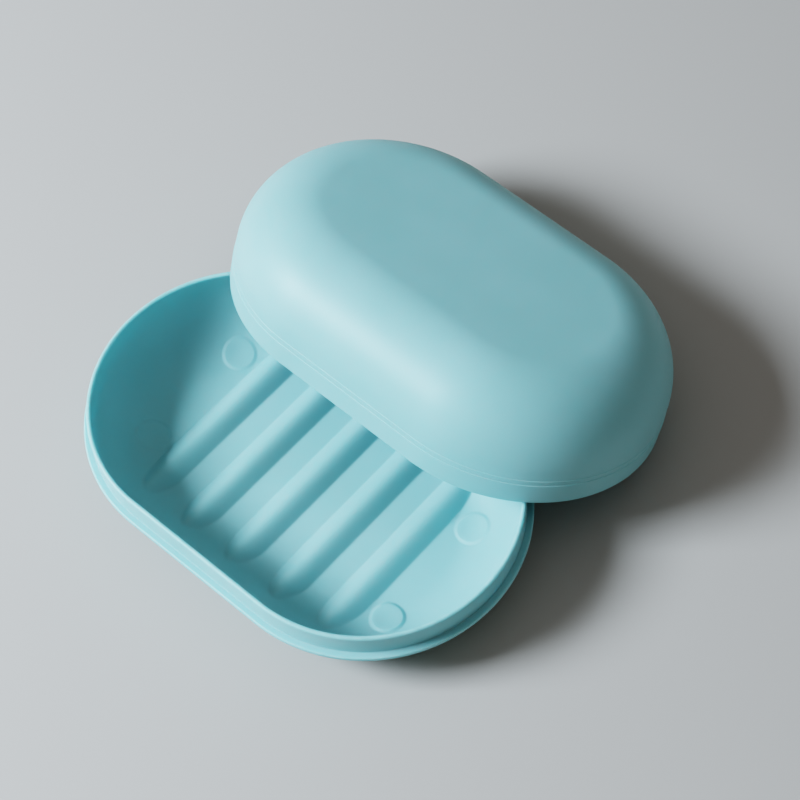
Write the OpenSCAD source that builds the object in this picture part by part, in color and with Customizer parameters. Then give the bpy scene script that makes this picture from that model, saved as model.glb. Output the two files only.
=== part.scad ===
// Travel soap box in two mouldings: a shallow oval base with a ribbed draining floor
// and a deep domed lid. The lid is off and leans on the base, as it lies in use.
// Millimetres, Z up. The origin is the centre of the base's flat underside, and X runs
// along the box.

/* [Base] */
// Length of the base over its shoulder
base_l = 115; // [100:1:135]
// Width of the base over its shoulder
base_w = 75.6; // [68:0.2:90]
// Height of the base from its underside to the top of its lip
base_h = 20; // [18:0.5:28]
// Height of the lip above the shoulder's ledge
lip_h = 6.6; // [4:0.1:8]
// Thickness of the lip
lip_t = 1.15; // [0.9:0.05:1.8]
// Width of the ledge outside the lip, which the lid's rim sits on
ledge_w = 1.7; // [1.4:0.1:3]
// Height of the upright edge below the ledge
edge_h = 1; // [0.6:0.1:2]
// Thickness of the floor between the ribs
floor_t = 1.6; // [1.2:0.1:2.4]
// Radius of the inside curve from wall to floor
bowl_in_r = 15.5; // [12:0.5:17]
// Radius of the outside curve from edge to underside
bowl_out_r = 20; // [16:0.5:22]
// Radius that takes the sharpness off the ledge's outer corner
edge_round = 0.4; // [0.2:0.1:0.6]

/* [Draining ribs] */
// Number of ribs across the floor
rib_count = 5; // [3:1:6]
// Distance from one rib's crest to the next
rib_pitch = 14.1; // [12:0.1:15]
// Width of a rib at the floor
rib_w = 8.4; // [7:0.2:11]
// Height of a rib's crest above the floor
rib_h = 1.9; // [1.2:0.1:2.6]

/* [Ejector pads] */
// Distance from the well's wall to the middle of a pad
pad_inset = 11.6; // [9:0.2:14]
// Place of a pad round the end of the box, in degrees from the long axis
pad_angle = 39.8; // [30:0.2:50]
// Diameter of a pad
pad_d = 8.6; // [6:0.2:10]
// Height of a pad above the floor's surface
pad_h = 0.2; // [0.1:0.05:0.4]
// Diameter of the pin mark on a pad
pin_d = 6.6; // [3:0.2:7.4]
// Height of the pin mark above the floor's surface
pin_h = 0.5; // [0.3:0.05:0.8]

/* [Lid] */
// Height of the lid from its rim to its flat top
lid_h = 27.6; // [25.6:0.2:36]
// Thickness of the lid's wall and top
lid_t = 1.3; // [1.1:0.1:2.4]
// Height of the proud skirt round the rim
skirt_h = 5.8; // [4:0.1:8]
// How far the skirt stands proud of the narrow band above it
skirt_step = 0.15; // [0.1:0.05:0.6]
// Height of the narrow band between the skirt and the wall
band_h = 1.4; // [1:0.1:2.4]
// How far the band stands proud of the wall above it
band_step = 0.1; // [0.05:0.05:0.4]
// Radius of the dome between the wall and the flat top
dome_r = 18.4; // [12:0.2:20]
// Lean of the lid's wall, in degrees
lid_draft = 1.5; // [0.5:0.25:3]
// Radius that takes the sharpness off the rim's outer corner
rim_round = 0.5; // [0.2:0.1:0.8]
// Chamfer inside the rim that leads it over the lip
rim_lead = 0.4; // [0.2:0.1:0.8]
// Clearance between the closed lid's skirt and the lip, on each side
lid_fit = 0.2; // [0.15:0.05:0.5]

/* [Where the lid lies] */
// How far the lid laps over the base, across the box
lap = 28.1; // [20:0.1:32]
// How far the lid lies to the right of the base, along the box
shift = 2.9; // [-5:0.1:5]
// Turn of the lid about the upright axis, in degrees
turn = -0.1; // [-4:0.1:4]
// Gap kept between the leaning lid and the lip that carries it
rest_gap = 0.1; // [0.05:0.05:0.4]

/* [Hidden] */
$fn = 96;

// Both outlines are stadiums with the same straight stretch, half of it on each side.
straight = (base_l - base_w) / 2;
shoulder_r = base_w / 2;
lip_r = shoulder_r - ledge_w;
well_r = lip_r - lip_t;
ledge_z = base_h - lip_h;
edge_z = ledge_z - edge_h;

// The lid's skirt fits round the lip.
skirt_in_r = lip_r + lid_fit;
wall_r = skirt_in_r + lid_t;
band_r = wall_r + band_step;
skirt_r = band_r + skirt_step;
wall_z = skirt_h + band_h;

// A rib is the top of a cylinder laid across the floor.
rib_r = (rib_w * rib_w / 4 + rib_h * rib_h) / (2 * rib_h);
rib_z = floor_t + rib_h - rib_r;

// Past this height a cut is clear above the base or the lid.
clear = 5;

// Upper crossing of two circles, the first with its centre at p and the second at q.
// The side is 1 for the crossing on the left of the way from p to q, or -1.
function crossing(p, p_r, q, q_r, side) =
    let (d = norm(q - p), u = (q - p) / d,
         along = (d * d + p_r * p_r - q_r * q_r) / (2 * d),
         across = sqrt(p_r * p_r - along * along))
    p + u * along + [-u[1], u[0]] * across * side;

// The lid first lies level at the lip's height, then tips about the line through the two
// places where its rim crosses the lip, until its far rim touches the table.
lid_at = [shift, shoulder_r + skirt_r - lap];
lid_way = [cos(turn), sin(turn)];
left_seat = crossing([-straight, 0], lip_r, lid_at - straight * lid_way, skirt_in_r, 1);
right_seat = crossing([straight, 0], lip_r, lid_at + straight * lid_way, skirt_in_r, -1);
seat_way = (right_seat - left_seat) / norm(right_seat - left_seat);
seat_angle = atan2(seat_way[1], seat_way[0]);
seat_out = [-seat_way[1], seat_way[0]];
seat_z = base_h + rest_gap;
far_reach = (lid_at - left_seat) * seat_out + straight * abs(lid_way * seat_out) + skirt_r;
tip = asin(seat_z / far_reach);

// A solid with a stadium plan, from a half profile of radius and height.
module stadium_solid() {
    for (end = [0, 180])
        rotate([0, 0, end])
            translate([straight, 0, 0])
                rotate([0, 0, -90])
                    rotate_extrude(angle = 180)
                        children();
    for (side = [0, 180])
        rotate([0, 0, side])
            translate([-straight, 0, 0])
                rotate([90, 0, 90])
                    linear_extrude(2 * straight)
                        children();
}

// Half profile of the base with its hollow filled in.
module base_outline() {
    foot_r = shoulder_r - sqrt(bowl_out_r * bowl_out_r - pow(bowl_out_r - edge_z, 2));
    intersection() {
        union() {
            square([foot_r, edge_z]);
            translate([foot_r, bowl_out_r]) circle(bowl_out_r);
        }
        square([shoulder_r, edge_z]);
    }
    translate([0, edge_z])
        square([shoulder_r, edge_h - edge_round]);
    translate([0, edge_z])
        square([shoulder_r - edge_round, edge_h]);
    translate([shoulder_r - edge_round, ledge_z - edge_round])
        circle(edge_round);
    translate([0, edge_z])
        square([lip_r, base_h - edge_z - lip_t / 2]);
    translate([0, edge_z])
        square([lip_r - lip_t / 2, base_h - edge_z]);
    translate([lip_r - lip_t / 2, base_h - lip_t / 2])
        circle(lip_t / 2);
}

// Half profile of the base's hollow, drawn in all round by an inset.
module well_outline(inset) {
    r = bowl_in_r - inset;
    centre = [well_r - bowl_in_r, floor_t + bowl_in_r];
    translate([0, floor_t + inset])
        square([centre[0], base_h + clear]);
    translate(centre)
        intersection() {
            circle(r);
            translate([0, -r]) square(r);
        }
    translate([0, centre[1]])
        square([well_r - inset, base_h - lip_t / 2 - centre[1]]);
    translate([0, base_h - lip_t / 2])
        difference() {
            square([lip_r - lip_t / 2, lip_t / 2 + clear]);
            translate([lip_r - lip_t / 2, 0]) circle(lip_t / 2);
        }
}

// The draining ribs, as long round bars that run into the wall at both ends.
module ribs() {
    for (i = [0 : rib_count - 1])
        translate([(i - (rib_count - 1) / 2) * rib_pitch, 0, rib_z])
            rotate([90, 0, 0])
                cylinder(r = rib_r, h = 2 * well_r, center = true);
}

// Upright pins where the four ejector pads are.
module pad_pins(d) {
    pad_at = well_r - pad_inset;
    for (x = [-1, 1], y = [-1, 1])
        translate([
            x * (straight + pad_at * cos(pad_angle)),
            y * pad_at * sin(pad_angle),
            0
        ])
            cylinder(d = d, h = ledge_z);
}

// Pads that stand up from the floor by one height and follow its curve.
module raised_pads(d, height) {
    difference() {
        pad_pins(d);
        stadium_solid() well_outline(height);
    }
}

module base() {
    color([0.56, 0.79, 0.83])
        difference() {
            stadium_solid() base_outline();
            difference() {
                stadium_solid() well_outline(0);
                ribs();
                raised_pads(pad_d, pad_h);
                raised_pads(pin_d, pin_h);
            }
        }
}

// Half profile of a dome: an upright foot, a leaning wall, a round shoulder and a flat top.
module dome_outline(foot_r, foot_h, top_z, r) {
    centre_z = top_z - r;
    centre_r = foot_r - (centre_z - foot_h) * tan(lid_draft) - r / cos(lid_draft);
    polygon([
        [0, 0],
        [foot_r, 0],
        [foot_r, foot_h],
        [centre_r + r * cos(lid_draft), centre_z + r * sin(lid_draft)],
        [centre_r, top_z],
        [0, top_z]
    ]);
    translate([centre_r, centre_z])
        intersection() {
            circle(r);
            square(r);
        }
}

// Half profile of the proud skirt round the lid's rim, and of the narrow band above it.
module skirt_outline() {
    square([skirt_r - rim_round, skirt_h - skirt_step]);
    translate([0, rim_round])
        square([skirt_r, skirt_h - rim_round - skirt_step]);
    translate([skirt_r - rim_round, rim_round])
        circle(rim_round);
    translate([band_r, skirt_h - skirt_step])
        circle(skirt_step);
    translate([0, rim_round])
        square([band_r, wall_z - rim_round - band_step]);
    translate([wall_r, wall_z - band_step])
        circle(band_step);
}

// Half profile of the lid's hollow, open below the rim.
module hollow_outline() {
    dome_outline(skirt_in_r, wall_z, lid_h - lid_t, dome_r - lid_t);
    translate([0, -clear])
        square([skirt_in_r, 2 * clear]);
    polygon([
        [0, -clear],
        [skirt_in_r + rim_lead + clear, -clear],
        [skirt_in_r, rim_lead],
        [0, rim_lead]
    ]);
}

// The lid as it comes from the mould, rim down on Z = 0.
module lid_shell() {
    difference() {
        stadium_solid() {
            dome_outline(wall_r, wall_z, lid_h, dome_r);
            skirt_outline();
        }
        stadium_solid() hollow_outline();
    }
}

module lid() {
    color([0.6, 0.83, 0.87])
        translate([left_seat[0], left_seat[1], seat_z])
            rotate([0, 0, seat_angle])
                rotate([-tip, 0, 0])
                    rotate([0, 0, -seat_angle])
                        translate([lid_at[0] - left_seat[0], lid_at[1] - left_seat[1], 0])
                            rotate([0, 0, turn])
                                lid_shell();
}

base();
lid();
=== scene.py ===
"""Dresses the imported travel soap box: an oval base with a ribbed draining floor, and its domed lid.

The lid is off and leans on the base. Both are mouldings in pale teal polypropylene with a satin skin.
Every size is in metres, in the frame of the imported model.
"""

import logging
import math
from collections.abc import Iterable
from dataclasses import dataclass, field
from enum import Enum
from typing import Any, ClassVar

import bmesh
import bpy
from mathutils import Matrix, Vector
from mathutils.geometry import delaunay_2d_cdt


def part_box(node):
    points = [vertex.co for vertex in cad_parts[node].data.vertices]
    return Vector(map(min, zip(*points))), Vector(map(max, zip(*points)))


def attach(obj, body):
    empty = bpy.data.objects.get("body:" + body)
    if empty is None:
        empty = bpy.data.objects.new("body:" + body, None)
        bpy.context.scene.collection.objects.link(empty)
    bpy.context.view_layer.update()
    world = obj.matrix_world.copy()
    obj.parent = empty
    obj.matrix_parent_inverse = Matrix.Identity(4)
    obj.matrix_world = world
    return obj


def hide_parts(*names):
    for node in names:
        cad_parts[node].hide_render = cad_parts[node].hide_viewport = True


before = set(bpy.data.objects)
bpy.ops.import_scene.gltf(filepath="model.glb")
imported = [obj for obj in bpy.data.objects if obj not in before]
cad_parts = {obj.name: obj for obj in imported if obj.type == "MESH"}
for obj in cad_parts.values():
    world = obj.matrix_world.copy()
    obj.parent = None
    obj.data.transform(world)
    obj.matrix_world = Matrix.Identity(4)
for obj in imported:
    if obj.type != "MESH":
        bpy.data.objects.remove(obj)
log = logging.getLogger("soap_box")

MM = 0.001
WORN = "worn"
FLOOR_PATCH = "floor_patch"
SIDES = (-1, 1)

Point = tuple[float, float]
Colour = tuple[float, float, float]


class Node(Enum):
    """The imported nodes, which are also the names of their bodies."""

    BASE = "base"
    LID = "lid"


class Slot(Enum):
    """The record's material slots."""

    BASE = "base_plastic"
    LID = "lid_plastic"


class Hand(Enum):
    """The two ends of the box, as the sign of X."""

    LEFT = -1
    RIGHT = 1


class Value:
    """A number that flows through a node tree, and takes Python's operators."""

    def __init__(self, graph: "Graph", socket: bpy.types.NodeSocket) -> None:
        """Wraps an output socket.

        Args:
            graph: The graph that new Math nodes go into.
            socket: The output that carries the number.
        """
        self.graph = graph
        self.socket = socket

    def maths(self, operation: str, *others: "Value | float") -> "Value":
        """Adds one Math node with this value as its first input.

        Args:
            operation: The Math node's operation.
            others: The node's other inputs.

        Returns:
            The result.
        """
        return self.graph.maths(operation, self, *others)

    def __add__(self, other: "Value | float") -> "Value":
        """Adds."""
        return self.maths("ADD", other)

    def __radd__(self, other: float) -> "Value":
        """Adds to a plain number."""
        return self.graph.maths("ADD", other, self)

    def __sub__(self, other: "Value | float") -> "Value":
        """Subtracts."""
        return self.maths("SUBTRACT", other)

    def __rsub__(self, other: float) -> "Value":
        """Subtracts from a plain number."""
        return self.graph.maths("SUBTRACT", other, self)

    def __mul__(self, other: "Value | float") -> "Value":
        """Multiplies."""
        return self.maths("MULTIPLY", other)

    def __rmul__(self, other: float) -> "Value":
        """Multiplies a plain number."""
        return self.graph.maths("MULTIPLY", other, self)

    def __truediv__(self, other: "Value | float") -> "Value":
        """Divides."""
        return self.maths("DIVIDE", other)

    def __abs__(self) -> "Value":
        """Drops the sign."""
        return self.maths("ABSOLUTE")


class Graph:
    """Writes the nodes of one shader or geometry tree."""

    def __init__(self, tree: bpy.types.NodeTree) -> None:
        """Starts from an empty tree.

        Args:
            tree: The tree that the nodes go into.
        """
        self.tree = tree
        self.tree.nodes.clear()

    def node(self, kind: str, settings: dict[str, Any] | None = None, **sockets: Any) -> bpy.types.Node:
        """Adds any node.

        Args:
            kind: The node's type.
            settings: Its properties, which are set before the sockets.
            sockets: Values or links by the socket's name, with _ for a space.

        Returns:
            The new node.
        """
        node = self.tree.nodes.new(kind)
        for name, value in (settings or {}).items():
            setattr(node, name, value)
        for name, value in sockets.items():
            self.feed(self.find(node.inputs, name.replace("_", " ")), value)
        return node

    @staticmethod
    def find(sockets: Iterable[bpy.types.NodeSocket], name: str) -> bpy.types.NodeSocket:
        """Finds the socket in use that has a name.

        Args:
            sockets: A node's inputs or outputs.
            name: The socket's name.

        Returns:
            The socket.
        """
        return next(s for s in sockets if s.name == name and s.enabled)

    def feed(self, socket: bpy.types.NodeSocket, value: Any) -> None:
        """Links a socket, or sets its own value.

        Args:
            socket: An input.
            value: A Value, an output socket, a number, a colour or a vector.
        """
        if isinstance(value, Value):
            value = value.socket
        if isinstance(value, bpy.types.NodeSocket):
            self.tree.links.new(value, socket)
        elif socket.type == "RGBA" and len(value) == 3:
            socket.default_value = (*value, 1.0)
        else:
            socket.default_value = value

    def maths(self, operation: str, *values: "Value | float") -> Value:
        """Adds a Math node.

        Args:
            operation: The node's operation.
            values: Its inputs in order.

        Returns:
            The result.
        """
        node = self.node("ShaderNodeMath", {"operation": operation})
        for socket, value in zip(node.inputs, values):
            self.feed(socket, value)
        return Value(self, node.outputs[0])

    def value(self, node: bpy.types.Node, name: str) -> Value:
        """Takes a number from a node's output.

        Args:
            node: The node.
            name: The output's name.

        Returns:
            The number.
        """
        return Value(self, self.find(node.outputs, name))

    def ease(self, value: Value, low: float, high: float) -> Value:
        """Gives 0 below a range and 1 above it, with a soft change between.

        Args:
            value: The number.
            low: Where the change starts.
            high: Where it ends.

        Returns:
            The mapped number.
        """
        settings = {"interpolation_type": "SMOOTHSTEP"}
        node = self.node(
            "ShaderNodeMapRange",
            settings,
            Value=value,
            From_Min=low,
            From_Max=high,
            To_Min=0.0,
            To_Max=1.0,
        )
        return self.value(node, "Result")


@dataclass(frozen=True)
class SatinPolypropylene:
    """Injection-moulded polypropylene with a satin, finely sparked skin that lets some light through."""

    name: str
    colour: Colour = (0.33, 0.595, 0.625)
    deep_colour: Colour = (0.31, 0.572, 0.595)
    worn_colour: Colour = (0.39, 0.665, 0.69)
    drift_size: float = 25.2 * MM
    drift_range: Point = (0.3, 0.7)
    scuff_size: float = 2.4 * MM
    scuff_range: Point = (0.42, 0.62)
    scuff_cover: float = 0.55
    roughness: float = 0.46
    roughness_drift: float = 0.05
    scuff_roughness: float = 0.06
    grain_size: float = 0.35 * MM
    grain_depth: float = 0.012 * MM
    grain_strength: float = 0.5
    ripple_size: float = 14 * MM
    ripple_depth: float = 0.05 * MM
    ripple_strength: float = 0.35
    refraction: float = 1.49
    gloss: float = 0.6
    gloss_tint: Colour = (0.7, 0.97, 1.0)
    depth: float = 0.7
    spread: Colour = (0.5, 1.0, 1.0)
    reach: float = 1.8 * MM

    def material(self) -> bpy.types.Material:
        """Makes the node material.

        Returns:
            The material.
        """
        material = bpy.data.materials.new(self.name)
        material.use_nodes = True
        graph = Graph(material.node_tree)
        place = graph.find(graph.node("ShaderNodeTexCoord").outputs, "Object")
        drift = self._noise(graph, place, self.drift_size, detail=2.0)
        ripple = self._noise(graph, place, self.ripple_size, detail=1.0)
        grain = self._noise(graph, place, self.grain_size, detail=3.0)
        worn = graph.value(graph.node("ShaderNodeAttribute", {"attribute_name": WORN}), "Fac")
        scuffs = graph.ease(self._noise(graph, place, self.scuff_size, detail=4.0), *self.scuff_range)
        tone = self._mix(graph, graph.ease(drift, *self.drift_range), self.deep_colour, self.colour)
        rubbed = worn * scuffs
        roughness = self.roughness + (drift - 0.5) * self.roughness_drift
        waves = graph.node(
            "ShaderNodeBump",
            {},
            Strength=self.ripple_strength,
            Distance=self.ripple_depth,
            Height=ripple,
        )
        sparks = graph.node(
            "ShaderNodeBump",
            {},
            Strength=self.grain_strength,
            Distance=self.grain_depth,
            Height=grain,
            Normal=waves.outputs["Normal"],
        )
        shader = graph.node(
            "ShaderNodeBsdfPrincipled",
            {"subsurface_method": "RANDOM_WALK"},
            Base_Color=self._mix(graph, rubbed * self.scuff_cover, tone, self.worn_colour),
            Roughness=roughness + rubbed * self.scuff_roughness,
            IOR=self.refraction,
            Normal=sparks.outputs["Normal"],
            Subsurface_Weight=self.depth,
            Subsurface_Radius=self.spread,
            Subsurface_Scale=self.reach,
            Specular_IOR_Level=self.gloss,
            Specular_Tint=self.gloss_tint,
        )
        graph.node("ShaderNodeOutputMaterial", {}, Surface=shader.outputs["BSDF"])
        return material

    @staticmethod
    def _noise(graph: Graph, place: bpy.types.NodeSocket, size: float, detail: float) -> Value:
        """Adds a noise texture.

        Args:
            graph: The material's graph.
            place: The coordinates.
            size: Size of the noise's largest blots.
            detail: Number of finer layers.

        Returns:
            The noise, about 0.5.
        """
        noise = graph.node("ShaderNodeTexNoise", {}, Vector=place, Scale=1 / size, Detail=detail)
        return graph.value(noise, "Fac")

    @staticmethod
    def _mix(graph: Graph, factor: Value, low: Any, high: Any) -> bpy.types.NodeSocket:
        """Mixes two colours.

        Args:
            graph: The material's graph.
            factor: Share of the second colour.
            low: The first colour.
            high: The second colour.

        Returns:
            The mixed colour's socket.
        """
        node = graph.node("ShaderNodeMix", {"data_type": "RGBA"}, Factor=factor, A=low, B=high)
        return graph.find(node.outputs, "Result")


@dataclass(frozen=True)
class FloorPaint:
    """Plain matt paint for the studio floor."""

    name: str = "studio_floor"
    colour: Colour = (0.46, 0.445, 0.42)
    roughness: float = 0.85

    def material(self) -> bpy.types.Material:
        """Makes the node material.

        Returns:
            The material.
        """
        material = bpy.data.materials.new(self.name)
        material.use_nodes = True
        graph = Graph(material.node_tree)
        sockets = {"Base_Color": self.colour, "Roughness": self.roughness}
        shader = graph.node("ShaderNodeBsdfPrincipled", {}, **sockets)
        graph.node("ShaderNodeOutputMaterial", {}, Surface=shader.outputs["BSDF"])
        return material


class Outline:
    """A half profile of radius and height, made of straight stretches and arcs."""

    longest_hold: ClassVar[float] = 0.3

    def __init__(self, radius: float, height: float) -> None:
        """Starts at one point.

        Args:
            radius: Distance from the middle line of the plan.
            height: Height above the piece's own zero.
        """
        self.points: list[Point] = [(radius, height)]
        self.worn: list[float] = [0.0]

    def line(self, radius: float, height: float, hold: float, steps: int) -> None:
        """Runs straight on to a point.

        Args:
            radius: The end's radius.
            height: The end's height.
            hold: Distance from each end at which a point keeps the flat from shading round, which is
                held to a share of the whole length.
            steps: Number of even steps between those points.
        """
        start = Vector(self.points[-1])
        way = Vector((radius, height)) - start
        near = min(hold / way.length, self.longest_hold)
        shares = [near + (1 - 2 * near) * i / steps for i in range(steps + 1)] + [1.0]
        for share in shares:
            self.points.append(tuple(start + way * share))
            self.worn.append(0.0)

    def arc(self, centre: Point, radius: float, turn: Point, steps: int, worn: float = 0.0) -> None:
        """Runs round an arc that starts where the outline is.

        Args:
            centre: The arc's centre.
            radius: Its radius.
            turn: Angles of its start and its end in degrees, from straight out.
            steps: Number of steps.
            worn: How much its middle is rubbed in use, from 0 to 1.
        """
        start, end = turn
        for i in range(1, steps + 1):
            angle = math.radians(start + (end - start) * i / steps)
            across, up = radius * math.cos(angle), radius * math.sin(angle)
            self.points.append((centre[0] + across, centre[1] + up))
            self.worn.append(worn * math.sin(math.pi * i / steps))


@dataclass(frozen=True)
class Stadium:
    """The oval plan of the box: two half circles joined by straight sides."""

    straight: float
    end_steps: int = 132
    side_steps: int = 30

    def columns(self) -> list[tuple[float, float, float]]:
        """Lists where a swept profile stands, going round once.

        Returns:
            For each place the profile's foot on the X axis, and the way it points, as X and Y.
        """
        found = []
        for hand in (Hand.RIGHT, Hand.LEFT):
            foot = hand.value * self.straight
            for i in range(self.end_steps + 1):
                angle = math.pi * (i / self.end_steps - 0.5)
                found.append((foot, hand.value * math.cos(angle), hand.value * math.sin(angle)))
            for i in range(1, self.side_steps):
                found.append((foot * (1 - 2 * i / self.side_steps), 0.0, float(hand.value)))
        return found

    def ring(self, radius: float, height: float) -> list[Vector]:
        """Places one ring of points.

        Args:
            radius: The ring's radius round its ends.
            height: Its height.

        Returns:
            The points, going round once.
        """
        return [Vector((foot + radius * x, radius * y, height)) for foot, x, y in self.columns()]

    def sweep(self, mesh: bmesh.types.BMesh, outline: Outline) -> None:
        """Sweeps an outline round the plan.

        Args:
            mesh: The mesh that takes the surface.
            outline: The outline, from the first ring to the last.
        """
        worn = mesh.verts.layers.float.get(WORN)
        rings = []
        for (radius, height), rubbed in zip(outline.points, outline.worn):
            ring = [mesh.verts.new(point) for point in self.ring(radius, height)]
            for vertex in ring:
                vertex[worn] = rubbed
            rings.append(ring)
        for low, high in zip(rings, rings[1:]):
            for i in range(len(low)):
                j = (i + 1) % len(low)
                mesh.faces.new((low[i], low[j], high[j], high[i]))


class Moulding:
    """What the two mouldings share: a mesh that is swept, welded, named and hung on its body."""

    weld: ClassVar[float] = 0.004 * MM

    @staticmethod
    def blank() -> bmesh.types.BMesh:
        """Makes an empty mesh that can mark worn points and the floor patch.

        Returns:
            The mesh.
        """
        mesh = bmesh.new()
        mesh.verts.layers.float.new(WORN)
        mesh.verts.layers.float.new(FLOOR_PATCH)
        return mesh

    def close(self, mesh: bmesh.types.BMesh, name: str) -> bpy.types.Object:
        """Welds a mesh, turns its faces out and makes an object of it.

        Args:
            mesh: The mesh, which is freed.
            name: The object's name.

        Returns:
            The object, linked to the scene.
        """
        bmesh.ops.remove_doubles(mesh, verts=mesh.verts, dist=self.weld)
        bmesh.ops.dissolve_degenerate(mesh, edges=mesh.edges, dist=self.weld)
        bmesh.ops.recalc_face_normals(mesh, faces=mesh.faces)
        for face in mesh.faces:
            face.smooth = True
        data = bpy.data.meshes.new(name)
        mesh.to_mesh(data)
        mesh.free()
        piece = bpy.data.objects.new(name, data)
        bpy.context.scene.collection.objects.link(piece)
        return piece

    @staticmethod
    def hang(piece: bpy.types.Object, node: Node, slot: Slot) -> None:
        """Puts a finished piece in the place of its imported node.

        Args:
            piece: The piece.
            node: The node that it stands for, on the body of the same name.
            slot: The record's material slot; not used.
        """
        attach(piece, node.value)
        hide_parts(node.value)
        log.info("%s: %d faces on body %s", piece.name, len(piece.data.polygons), node.value)


@dataclass(frozen=True)
class FloorNet:
    """How closely the floor patch is netted, in millimetres where it isn't a count or a share."""

    flank_shares: tuple[float, ...] = (0, 0.17, 0.34, 0.5, 0.64, 0.76)
    foot_offsets: tuple[float, ...] = (-0.7, -0.45, -0.25, -0.08, 0.1, 0.28, 0.5, 0.8, 1.4)
    end_spacing: float = 0.9
    level_rows: int = 17
    curved_rows: int = 28
    curve_lead: float = 1.5
    border_gap: float = 0.45
    pad_gap: float = 0.75
    pad_top_rings: tuple[float, ...] = (0.6, 1.2, 1.8, 2.4)
    pad_flank_rings: int = 9
    pad_outer_gap: float = 0.15
    pad_top_points: int = 12
    pad_flank_points: int = 72
    same_point: float = 1e-5
    quad_angle: float = 0.1
    quad_skew: float = 0.6

    def columns(self, pitch: float, half: float, count: int, end: float) -> list[float]:
        """Places the lines that run along the ribs, on their crests, flanks and feet.

        Args:
            pitch: Distance from one rib's crest to the next.
            half: Half of a rib's width.
            count: Number of ribs.
            end: The patch's end.

        Returns:
            The X of each line.
        """
        offsets = [half * share for share in self.flank_shares]
        offsets += [half + x for x in self.foot_offsets] + [pitch / 2]
        last = (count - 1) / 2
        crests = [(i - last) * pitch for i in range(count)]
        lines = {round(crest + side * x, 4) for crest in crests for x in offsets for side in SIDES}
        outer = last * pitch + pitch / 2
        steps = round((end - outer) / self.end_spacing)
        beyond = [outer + (end - outer) * i / steps for i in range(1, steps)]
        return sorted(lines | {side * x for x in beyond for side in SIDES})

    def rows(self, flat: float, border: float) -> list[float]:
        """Places the lines that run across the ribs, closer together where the floor curves up.

        Args:
            flat: Half of the level floor's width.
            border: Half of the patch's width.

        Returns:
            The Y of each line.
        """
        start = flat - self.curve_lead
        rows = [start * i / self.level_rows for i in range(self.level_rows + 1)]
        rows += [start + (border - start) * i / self.curved_rows for i in range(1, self.curved_rows)]
        return sorted({side * y for y in rows for side in SIDES})

    def pad_rings(self, x: float, y: float, pin: float, pad: float) -> list[Point]:
        """Lays out rings of points on one ejector pad.

        Args:
            x: The pad's middle.
            y: The pad's middle.
            pin: Radius of the pad's level top.
            pad: Radius of the pad's foot.

        Returns:
            The points in plan.
        """
        steps = self.pad_flank_rings
        radii = [*self.pad_top_rings, *(pin + (pad - pin) * i / steps for i in range(steps + 1))]
        found = [(x, y)]
        for i, radius in enumerate(radii + [pad + self.pad_outer_gap]):
            on_top = i < len(self.pad_top_rings)
            count = self.pad_top_points * (i + 1) if on_top else self.pad_flank_points
            for k in range(count):
                angle = 2 * math.pi * (k + 0.5 * (i % 2)) / count
                found.append((x + radius * math.cos(angle), y + radius * math.sin(angle)))
        return found


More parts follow.
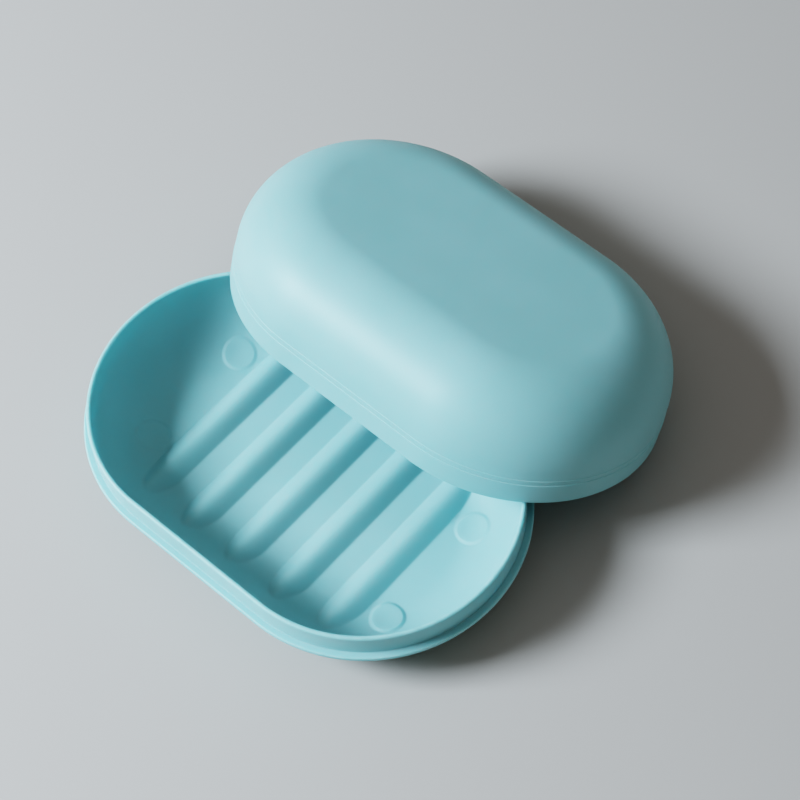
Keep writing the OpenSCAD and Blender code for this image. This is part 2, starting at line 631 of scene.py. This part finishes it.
@dataclass
class BaseMoulding(Moulding):
    """The base: an oval dish with a thin lip inset behind a ledge, and a ribbed draining floor."""

    length: float
    width: float
    height: float
    lip_height: float = 6.6 * MM
    lip_thickness: float = 1.15 * MM
    ledge_width: float = 1.7 * MM
    edge_height: float = 1.0 * MM
    floor_thickness: float = 1.6 * MM
    bowl_inside: float = 15.5 * MM
    bowl_outside: float = 20.0 * MM
    edge_round: float = 0.4 * MM
    ledge_fillet: float = 0.25 * MM
    patch_inset: float = 5.2 * MM
    rib_count: int = 5
    rib_pitch: float = 14.1 * MM
    rib_width: float = 8.4 * MM
    rib_height: float = 2.7 * MM
    rib_crest: float = 2.4 * MM
    rib_blend: float = 0.4 * MM
    pad_inset: float = 11.6 * MM
    pad_angle: float = 39.8
    pad_radius: float = 4.5 * MM
    pin_radius: float = 3.35 * MM
    pad_height: float = 0.28 * MM
    proud_pad: float = 0.35 * MM
    net: FloorNet = FloorNet()
    stadium: Stadium = field(init=False)

    def __post_init__(self) -> None:
        """Works out the plan from the length and the width."""
        self.stadium = Stadium((self.length - self.width) / 2)

    @property
    def shoulder(self) -> float:
        """Radius of the ledge's outer edge round the ends."""
        return self.width / 2

    @property
    def lip(self) -> float:
        """Radius of the lip's outer face round the ends."""
        return self.shoulder - self.ledge_width

    @property
    def well(self) -> float:
        """Radius of the lip's inner face round the ends."""
        return self.lip - self.lip_thickness

    @property
    def flat(self) -> float:
        """Radius at which the floor starts to curve up into the wall."""
        return self.well - self.bowl_inside

    @property
    def patch(self) -> float:
        """Radius of the border between the ribbed floor and the plain wall."""
        return self.well - self.patch_inset

    @property
    def pad_middle(self) -> Point:
        """Middle of the ejector pad in the quarter where X and Y are positive."""
        reach, angle = self.well - self.pad_inset, math.radians(self.pad_angle)
        return self.stadium.straight + reach * math.cos(angle), reach * math.sin(angle)

    def wall_height(self, radius: float) -> float:
        """Height of the bowl's inside at a radius.

        Args:
            radius: Distance from the middle line of the plan.

        Returns:
            The height above the underside.
        """
        past = max(radius - self.flat, 0.0)
        return self.floor_thickness + self.bowl_inside - math.sqrt(self.bowl_inside**2 - past**2)

    def outline(self) -> Outline:
        """Draws the base from the floor patch's border over the lip and down to the underside's middle.

        Returns:
            The outline.
        """
        half = self.lip_thickness / 2
        ledge = self.height - self.lip_height
        edge = ledge - self.edge_height
        outside, inside = self.bowl_outside, self.bowl_inside
        foot = self.shoulder - math.sqrt(outside**2 - (outside - edge) ** 2)
        start = math.degrees(math.asin((self.patch - self.flat) / inside)) - 90
        turn = math.degrees(math.asin((outside - edge) / outside))
        fillet, corner = self.ledge_fillet, self.edge_round
        path = Outline(self.patch, self.wall_height(self.patch))
        path.arc((self.flat, self.floor_thickness + inside), inside, (start, 0), steps=22)
        path.line(self.well, self.height - half, hold=0.15 * MM, steps=3)
        path.arc((self.well + half, self.height - half), half, (180, 0), steps=14, worn=1.0)
        path.line(self.lip, ledge + fillet, hold=0.15 * MM, steps=5)
        path.arc((self.lip + fillet, ledge + fillet), fillet, (180, 270), steps=5)
        path.line(self.shoulder - corner, ledge, hold=0.1 * MM, steps=2)
        path.arc((self.shoulder - corner, ledge - corner), corner, (90, 0), steps=7, worn=0.8)
        path.line(self.shoulder, edge, hold=0.05 * MM, steps=2)
        path.arc((foot, outside), outside, (-turn, -90), steps=26)
        path.line(0.0, 0.0, hold=0.6 * MM, steps=8)
        return path

    def patch_points(self) -> list[Point]:
        """Lays out the floor patch's inner points, in millimetres.

        They stand on lines along each rib's foot, flanks and crest, and in rings round each ejector pad.

        Returns:
            The points in plan.
        """
        net, border = self.net, self.patch / MM
        middle = self.pad_middle[0] / MM, self.pad_middle[1] / MM
        pin, pad = self.pin_radius / MM, self.pad_radius / MM
        end = (self.stadium.straight + self.patch) / MM
        columns = net.columns(self.rib_pitch / MM, self.rib_width / 2 / MM, self.rib_count, end)
        rows = net.rows(self.flat / MM, border)
        inside, clear = border - net.border_gap, pad + net.pad_gap
        points = [(x, y) for x in columns for y in rows if self._is_free(x, y, inside, middle, clear)]
        for side_x in SIDES:
            for side_y in SIDES:
                points += net.pad_rings(side_x * middle[0], side_y * middle[1], pin, pad)
        return points

    def _is_free(self, x: float, y: float, border: float, middle: Point, clear: float) -> bool:
        """Says whether a grid point is inside the patch and off its pads.

        Args:
            x: The point's X in millimetres.
            y: The point's Y in millimetres.
            border: Radius that it has to be inside.
            middle: Middle of a pad, in the positive quarter.
            clear: Radius round the pad that it has to be outside.

        Returns:
            True if the point is used.
        """
        past = max(abs(x) - self.stadium.straight / MM, 0.0)
        from_pad = math.hypot(abs(x) - middle[0], abs(y) - middle[1])
        return math.hypot(past, y) < border and from_pad > clear

    def add_patch(self, mesh: bmesh.types.BMesh) -> None:
        """Fills the floor inside the patch's border with a level net, which the rib tree then raises.

        Args:
            mesh: The base's mesh.
        """
        border = [point.to_2d() / MM for point in self.stadium.ring(self.patch, 0.0)]
        count = len(border)
        edges = [(i, (i + 1) % count) for i in range(count)]
        points = border + [Vector(point) for point in self.patch_points()]
        flat, _, faces, *_ = delaunay_2d_cdt(points, edges, [], 1, self.net.same_point)
        marks = mesh.verts.layers.float.get(FLOOR_PATCH)
        rim = self.wall_height(self.patch)
        made = []
        for point in flat:
            place = point * MM
            past = max(abs(place.x) - self.stadium.straight, 0.0)
            on_border = math.hypot(past, place.y) > self.patch - self.weld
            vertex = mesh.verts.new((place.x, place.y, rim))
            vertex[marks] = 0.0 if on_border else 1.0
            made.append(vertex)
        new = [mesh.faces.new([made[i] for i in face]) for face in faces]
        bmesh.ops.join_triangles(
            mesh,
            faces=new,
            angle_face_threshold=self.net.quad_angle,
            angle_shape_threshold=self.net.quad_skew,
        )

    def rib_tree(self, material: bpy.types.Material) -> bpy.types.NodeTree:
        """Builds the tree that raises the bowl's floor, its draining ribs and its ejector pads by rule.

        Args:
            material: The plastic that the tree sets.

        Returns:
            The tree, with a named input for each size.
        """
        tree = bpy.data.node_groups.new("draining_floor", "GeometryNodeTree")
        graph = Graph(tree)
        tree.interface.new_socket("Geometry", in_out="INPUT", socket_type="NodeSocketGeometry")
        for name, default in self.tree_inputs().items():
            socket = tree.interface.new_socket(name, in_out="INPUT", socket_type="NodeSocketFloat")
            socket.default_value = default
        tree.interface.new_socket("Geometry", in_out="OUTPUT", socket_type="NodeSocketGeometry")
        given = graph.node("NodeGroupInput")
        size = {name: graph.value(given, name) for name in self.tree_inputs()}
        place = graph.node("GeometryNodeInputPosition")
        split = graph.node("ShaderNodeSeparateXYZ", {}, Vector=place.outputs["Position"])
        x, y = graph.value(split, "X"), graph.value(split, "Y")
        bowl = self._bowl_field(size, x, y)
        ribs = self._rib_field(size, x)
        floor = bowl.maths("SMOOTH_MAX", ribs, size["Rib blend"]) + self._pad_field(size, x, y)
        raised = graph.node("ShaderNodeCombineXYZ", {}, X=x, Y=y, Z=floor)
        marked = graph.node("GeometryNodeInputNamedAttribute", {"data_type": "FLOAT"}, Name=FLOOR_PATCH)
        test = {"data_type": "FLOAT", "operation": "GREATER_THAN"}
        chosen = graph.node("FunctionNodeCompare", test, A=graph.value(marked, "Attribute"), B=0.5)
        moved = graph.node(
            "GeometryNodeSetPosition",
            {},
            Geometry=given.outputs["Geometry"],
            Selection=chosen.outputs["Result"],
            Position=raised.outputs["Vector"],
        )
        real = graph.node("GeometryNodeRealizeInstances", {}, Geometry=moved.outputs["Geometry"])
        dressed = graph.node(
            "GeometryNodeSetMaterial",
            {},
            Geometry=real.outputs["Geometry"],
            Material=material,
        )
        graph.node("NodeGroupOutput", {}, Geometry=dressed.outputs["Geometry"])
        return tree

    def tree_inputs(self) -> dict[str, float]:
        """Names the rib tree's inputs.

        Returns:
            Each input's name and its value here.
        """
        return {
            "Straight half": self.stadium.straight,
            "Floor height": self.floor_thickness,
            "Flat radius": self.flat,
            "Bowl radius": self.bowl_inside,
            "Rib pitch": self.rib_pitch,
            "Last rib": (self.rib_count - 1) / 2,
            "Rib width": self.rib_width,
            "Rib height": self.rib_height,
            "Rib crest": self.rib_crest,
            "Rib blend": self.rib_blend,
            "Pad X": self.pad_middle[0],
            "Pad Y": self.pad_middle[1],
            "Pad radius": self.pad_radius,
            "Pin radius": self.pin_radius,
            "Pad height": self.pad_height,
            "Proud pad": self.proud_pad,
        }

    @staticmethod
    def _bowl_field(size: dict[str, Value], x: Value, y: Value) -> Value:
        """Writes the height of the plain bowl.

        Args:
            size: The tree's inputs.
            x: Each point's X.
            y: Each point's Y.

        Returns:
            The height.
        """
        past = (abs(x) - size["Straight half"]).maths("MAXIMUM", 0.0)
        reach = (past * past + y * y).maths("SQRT")
        rise = (reach - size["Flat radius"]).maths("MAXIMUM", 0.0)
        radius = size["Bowl radius"]
        return size["Floor height"] + radius - (radius * radius - rise * rise).maths("SQRT")

    @staticmethod
    def _rib_field(size: dict[str, Value], x: Value) -> Value:
        """Writes the height of the ribs, which are roofs with a round crest.

        Args:
            size: The tree's inputs.
            x: Each point's X.

        Returns:
            The height, far below the floor between the ribs.
        """
        nearest = (x / size["Rib pitch"]).maths("ROUND")
        nearest = nearest.maths("MINIMUM", size["Last rib"]).maths("MAXIMUM", size["Last rib"] * -1)
        off = x - nearest * size["Rib pitch"]
        crest, half = size["Rib crest"], size["Rib width"] * 0.5

        def drop(across: Value) -> Value:
            """Gives a share of the drop from the crest, round at first and then straight."""
            return (across * across + crest * crest).maths("SQRT") - crest

        high = size["Rib height"]
        return size["Floor height"] + high - high * drop(off) / drop(half)

    @staticmethod
    def _pad_field(size: dict[str, Value], x: Value, y: Value) -> Value:
        """Writes how far the ejector pads and their soft feet stand above the bowl.

        The near pad at the right end was pushed out further than the others.

        Args:
            size: The tree's inputs.
            x: Each point's X.
            y: Each point's Y.

        Returns:
            The extra height.
        """
        off_x = abs(x) - size["Pad X"]
        off_y = abs(y) - size["Pad Y"]
        off = (off_x * off_x + off_y * off_y).maths("SQRT")
        rim, start = size["Pad radius"], size["Pin radius"]
        share = ((rim - off) / (rim - start)).maths("MAXIMUM", 0.0).maths("MINIMUM", 1.0)
        proud = x.maths("GREATER_THAN", 0.0) * y.maths("LESS_THAN", 0.0) * size["Proud pad"]
        return share * share * (3 - share * 2) * (size["Pad height"] + proud)

    def build(self) -> bpy.types.Object:
        """Makes the base, dresses it and hangs it on its body.

        Returns:
            The piece.
        """
        finish = SatinPolypropylene("base_polypropylene").material()
        mesh = self.blank()
        self.stadium.sweep(mesh, self.outline())
        self.add_patch(mesh)
        piece = self.close(mesh, "base_moulding")
        raiser = piece.modifiers.new("draining floor", "NODES")
        raiser.node_group = self.rib_tree(finish)
        values = self.tree_inputs()
        for item in raiser.node_group.interface.items_tree:
            if item.in_out == "INPUT" and item.name in values:
                raiser[item.identifier] = values[item.name]
        graph = bpy.context.evaluated_depsgraph_get()
        flat = piece.data
        piece.data = bpy.data.meshes.new_from_object(piece.evaluated_get(graph), depsgraph=graph)
        piece.modifiers.remove(raiser)
        piece.data.name = piece.name
        bpy.data.meshes.remove(flat)
        self.hang(piece, Node.BASE, Slot.BASE)
        return piece


@dataclass
class LidMoulding(Moulding):
    """The lid: a domed cover with a flat top and a proud skirt, which leans on the base."""

    base: BaseMoulding
    height: float = 27.6 * MM
    thickness: float = 1.3 * MM
    skirt_height: float = 5.8 * MM
    skirt_step: float = 0.13 * MM
    band_height: float = 1.4 * MM
    band_step: float = 0.08 * MM
    dome: float = 18.4 * MM
    draft: float = 1.5
    rim_round: float = 0.5 * MM
    rim_lead: float = 0.4 * MM
    fit: float = 0.2 * MM
    lap: float = 28.1 * MM
    shift: float = 2.9 * MM
    turn: float = -0.1
    rest_gap: float = 0.1 * MM

    @property
    def inside(self) -> float:
        """Radius of the skirt's inner face round the ends."""
        return self.base.lip + self.fit

    @property
    def wall(self) -> float:
        """Radius of the wall's outer face just above the band."""
        return self.inside + self.thickness

    @property
    def wall_foot(self) -> float:
        """Height at which the leaning wall starts."""
        return self.skirt_height + self.band_height

    @property
    def band(self) -> float:
        """Radius of the narrow band's outer face round the ends."""
        return self.wall + self.band_step

    @property
    def skirt(self) -> float:
        """Radius of the skirt's outer face round the ends."""
        return self.band + self.skirt_step

    def dome_centre(self, foot: float, top: float, radius: float) -> Point:
        """Places the centre of a dome's round shoulder.

        Args:
            foot: Radius of the wall where its lean starts.
            top: Height of the dome's flat top.
            radius: Radius of the shoulder.

        Returns:
            The centre, as radius and height.
        """
        lean = math.radians(self.draft)
        height = top - radius
        return foot - (height - self.wall_foot) * math.tan(lean) - radius / math.cos(lean), height

    def outline(self) -> Outline:
        """Draws the lid from the middle of its top, down outside, under the rim and up inside.

        Returns:
            The outline.
        """
        lean = math.radians(self.draft)
        outer = self.dome_centre(self.wall, self.height, self.dome)
        ceiling = self.height - self.thickness
        hollow = self.dome - self.thickness
        inner = self.dome_centre(self.inside, ceiling, hollow)
        fine, step, rim = self.band_step, self.skirt_step, self.rim_round
        path = Outline(0.0, self.height)
        path.line(outer[0], self.height, hold=0.8 * MM, steps=10)
        path.arc(outer, self.dome, (90, self.draft), steps=44)
        path.line(self.wall, self.wall_foot, hold=0.15 * MM, steps=3)
        path.arc((self.wall, self.wall_foot - fine), fine, (90, 0), steps=5, worn=0.3)
        path.line(self.band, self.skirt_height, hold=0.1 * MM, steps=2)
        path.arc((self.band, self.skirt_height - step), step, (90, 0), steps=6, worn=0.5)
        path.line(self.skirt, rim, hold=0.15 * MM, steps=4)
        path.arc((self.skirt - rim, rim), rim, (0, -90), steps=8, worn=1.0)
        path.line(self.inside + self.rim_lead, 0.0, hold=0.1 * MM, steps=2)
        path.line(self.inside, self.rim_lead, hold=0.05 * MM, steps=2)
        path.line(self.inside, self.wall_foot, hold=0.15 * MM, steps=4)
        reach = hollow * math.cos(lean), hollow * math.sin(lean)
        path.line(inner[0] + reach[0], inner[1] + reach[1], hold=0.1 * MM, steps=2)
        path.arc(inner, hollow, (self.draft, 90), steps=34)
        path.line(0.0, ceiling, hold=0.8 * MM, steps=8)
        return path

    @staticmethod
    def crossing(
        first: Vector, first_radius: float, second: Vector, second_radius: float, side: Hand
    ) -> Vector:
        """Finds where two circles cross.

        Args:
            first: Centre of the first circle.
            first_radius: Its radius.
            second: Centre of the second circle.
            second_radius: Its radius.
            side: Which crossing is wanted, seen from the first centre to the second.

        Returns:
            The crossing.
        """
        apart = second - first
        along = (apart.length_squared + first_radius**2 - second_radius**2) / (2 * apart.length)
        across = math.sqrt(first_radius**2 - along**2)
        way = apart.normalized()
        return first + way * along - side.value * across * Vector((-way.y, way.x))

    def resting_place(self) -> Matrix:
        """Works out how the lid leans: on the lip at two places, with its far rim on the table.

        Returns:
            The placement of the lid's mesh in the row frame.
        """
        straight = self.base.stadium.straight
        middle = Vector((self.shift, self.base.shoulder + self.skirt - self.lap))
        turn = math.radians(self.turn)
        way = Vector((math.cos(turn), math.sin(turn)))
        lip = self.base.lip
        half = Vector((straight, 0))
        left = self.crossing(-half, lip, middle - straight * way, self.inside, Hand.LEFT)
        right = self.crossing(half, lip, middle + straight * way, self.inside, Hand.RIGHT)
        seat = (right - left).normalized()
        out = Vector((-seat.y, seat.x))
        height = self.base.height + self.rest_gap
        far = (middle - left).dot(out) + straight * abs(way.dot(out)) + self.skirt
        tip = Matrix.Rotation(-math.asin(height / far), 4, seat.to_3d())
        start = Matrix.Translation((middle - left).to_3d()) @ Matrix.Rotation(turn, 4, "Z")
        return Matrix.Translation((left.x, left.y, height)) @ tip @ start

    def build(self) -> bpy.types.Object:
        """Makes the lid, dresses it and hangs it on its body.

        Returns:
            The piece.
        """
        mesh = self.blank()
        self.base.stadium.sweep(mesh, self.outline())
        piece = self.close(mesh, "lid_moulding")
        piece.data.materials.append(SatinPolypropylene("lid_polypropylene").material())
        piece.data.transform(self.resting_place())
        self.hang(piece, Node.LID, Slot.LID)
        return piece


@dataclass(frozen=True)
class Lamp:
    """One square lamp that hangs round the object and faces it."""

    name: str
    azimuth: float
    elevation: float
    distance: float
    size: float
    power: float


@dataclass
class Studio:
    """The pale floor, the soft light from the left and the camera at the photograph's angle."""

    aim: Vector = field(default_factory=lambda: Vector((31.33, 38.27, 20.0)) * MM)
    azimuth: float = 39.72
    elevation: float = 59.52
    distance: float = 453.4 * MM
    image_width: float = 800.0
    focal_pixels: float = 1954.3
    middle_right: float = 115.2
    middle_down: float = 9.1
    sensor_width: float = 36.0
    nearest_seen: float = 10 * MM
    key: Lamp = Lamp("key_light", azimuth=-42.0, elevation=35.0, distance=0.9, size=0.3, power=11.2)
    fill: Lamp = Lamp("fill_light", azimuth=0.0, elevation=90.0, distance=1.2, size=1.5, power=1.5)
    lamp_colour: Colour = (0.82, 0.93, 1.05)
    sky: Colour = (1.0, 0.94, 0.88)
    sky_strength: float = 0.18
    floor_size: float = 6.0
    view: str = "Filmic"
    contrast: str = "Very High Contrast"

    @staticmethod
    def towards(azimuth: float, elevation: float) -> Vector:
        """Gives the way from the object to something that stands round it.

        Args:
            azimuth: Degrees round from the front, which is -Y, towards +X.
            elevation: Degrees above the floor.

        Returns:
            A vector of length 1.
        """
        around, up = math.radians(azimuth), math.radians(elevation)
        level = Vector((math.sin(around), -math.cos(around), 0.0))
        return level * math.cos(up) + Vector((0.0, 0.0, math.sin(up)))

    def camera(self) -> None:
        """Stands the camera where the photograph was taken from.

        The photograph is a part of a wider frame, so the lens's middle is off the picture's middle.
        """
        data = bpy.data.cameras.new("camera")
        data.sensor_width = self.sensor_width
        data.lens = data.sensor_width * self.focal_pixels / self.image_width
        data.shift_x = -self.middle_right / self.image_width
        data.shift_y = self.middle_down / self.image_width
        data.clip_start = self.nearest_seen
        camera = bpy.data.objects.new("camera", data)
        back = self.towards(self.azimuth, self.elevation)
        camera.location = self.aim + back * self.distance
        camera.rotation_euler = (-back).to_track_quat("-Z", "Y").to_euler()
        bpy.context.scene.collection.objects.link(camera)
        bpy.context.scene.camera = camera

    def hang(self, lamp: Lamp) -> None:
        """Hangs one lamp.

        Args:
            lamp: The lamp.
        """
        data = bpy.data.lights.new(lamp.name, "AREA")
        data.shape = "SQUARE"
        data.size = lamp.size
        data.energy = lamp.power
        data.color = self.lamp_colour
        light = bpy.data.objects.new(lamp.name, data)
        way = self.towards(lamp.azimuth, lamp.elevation)
        light.location = self.aim + way * lamp.distance
        light.rotation_euler = (-way).to_track_quat("-Z", "Y").to_euler()
        bpy.context.scene.collection.objects.link(light)

    def light(self) -> None:
        """Hangs the soft key light and the wide fill overhead, and sets the sky."""
        self.hang(self.key)
        self.hang(self.fill)
        world = bpy.data.worlds.new("studio")
        world.use_nodes = True
        graph = Graph(world.node_tree)
        sky = graph.node("ShaderNodeBackground", {}, Color=self.sky, Strength=self.sky_strength)
        graph.node("ShaderNodeOutputWorld", {}, Surface=sky.outputs["Background"])
        bpy.context.scene.world = world

    def floor(self) -> None:
        """Lays the floor."""
        mesh = bmesh.new()
        bmesh.ops.create_grid(mesh, x_segments=2, y_segments=2, size=self.floor_size / 2)
        data = bpy.data.meshes.new("studio_floor")
        mesh.to_mesh(data)
        mesh.free()
        data.materials.append(FloorPaint().material())
        floor = bpy.data.objects.new("studio_floor", data)
        bpy.context.scene.collection.objects.link(floor)

    def build(self) -> None:
        """Sets up the floor, the light, the camera and the plain rendering of colours."""
        self.floor()
        self.light()
        self.camera()
        bpy.context.scene.view_settings.view_transform = self.view
        bpy.context.scene.view_settings.look = self.contrast


def main() -> None:
    """Builds the two mouldings and the studio."""
    logging.basicConfig(level=logging.INFO, format="%(name)s: %(message)s")
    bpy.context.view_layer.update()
    low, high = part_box(Node.BASE.value)
    length, width, height = (round(side, 4) for side in high - low)
    base = BaseMoulding(length, width, height)
    base.build()
    LidMoulding(base).build()
    Studio().build()


if __name__ == "__main__":
    main()
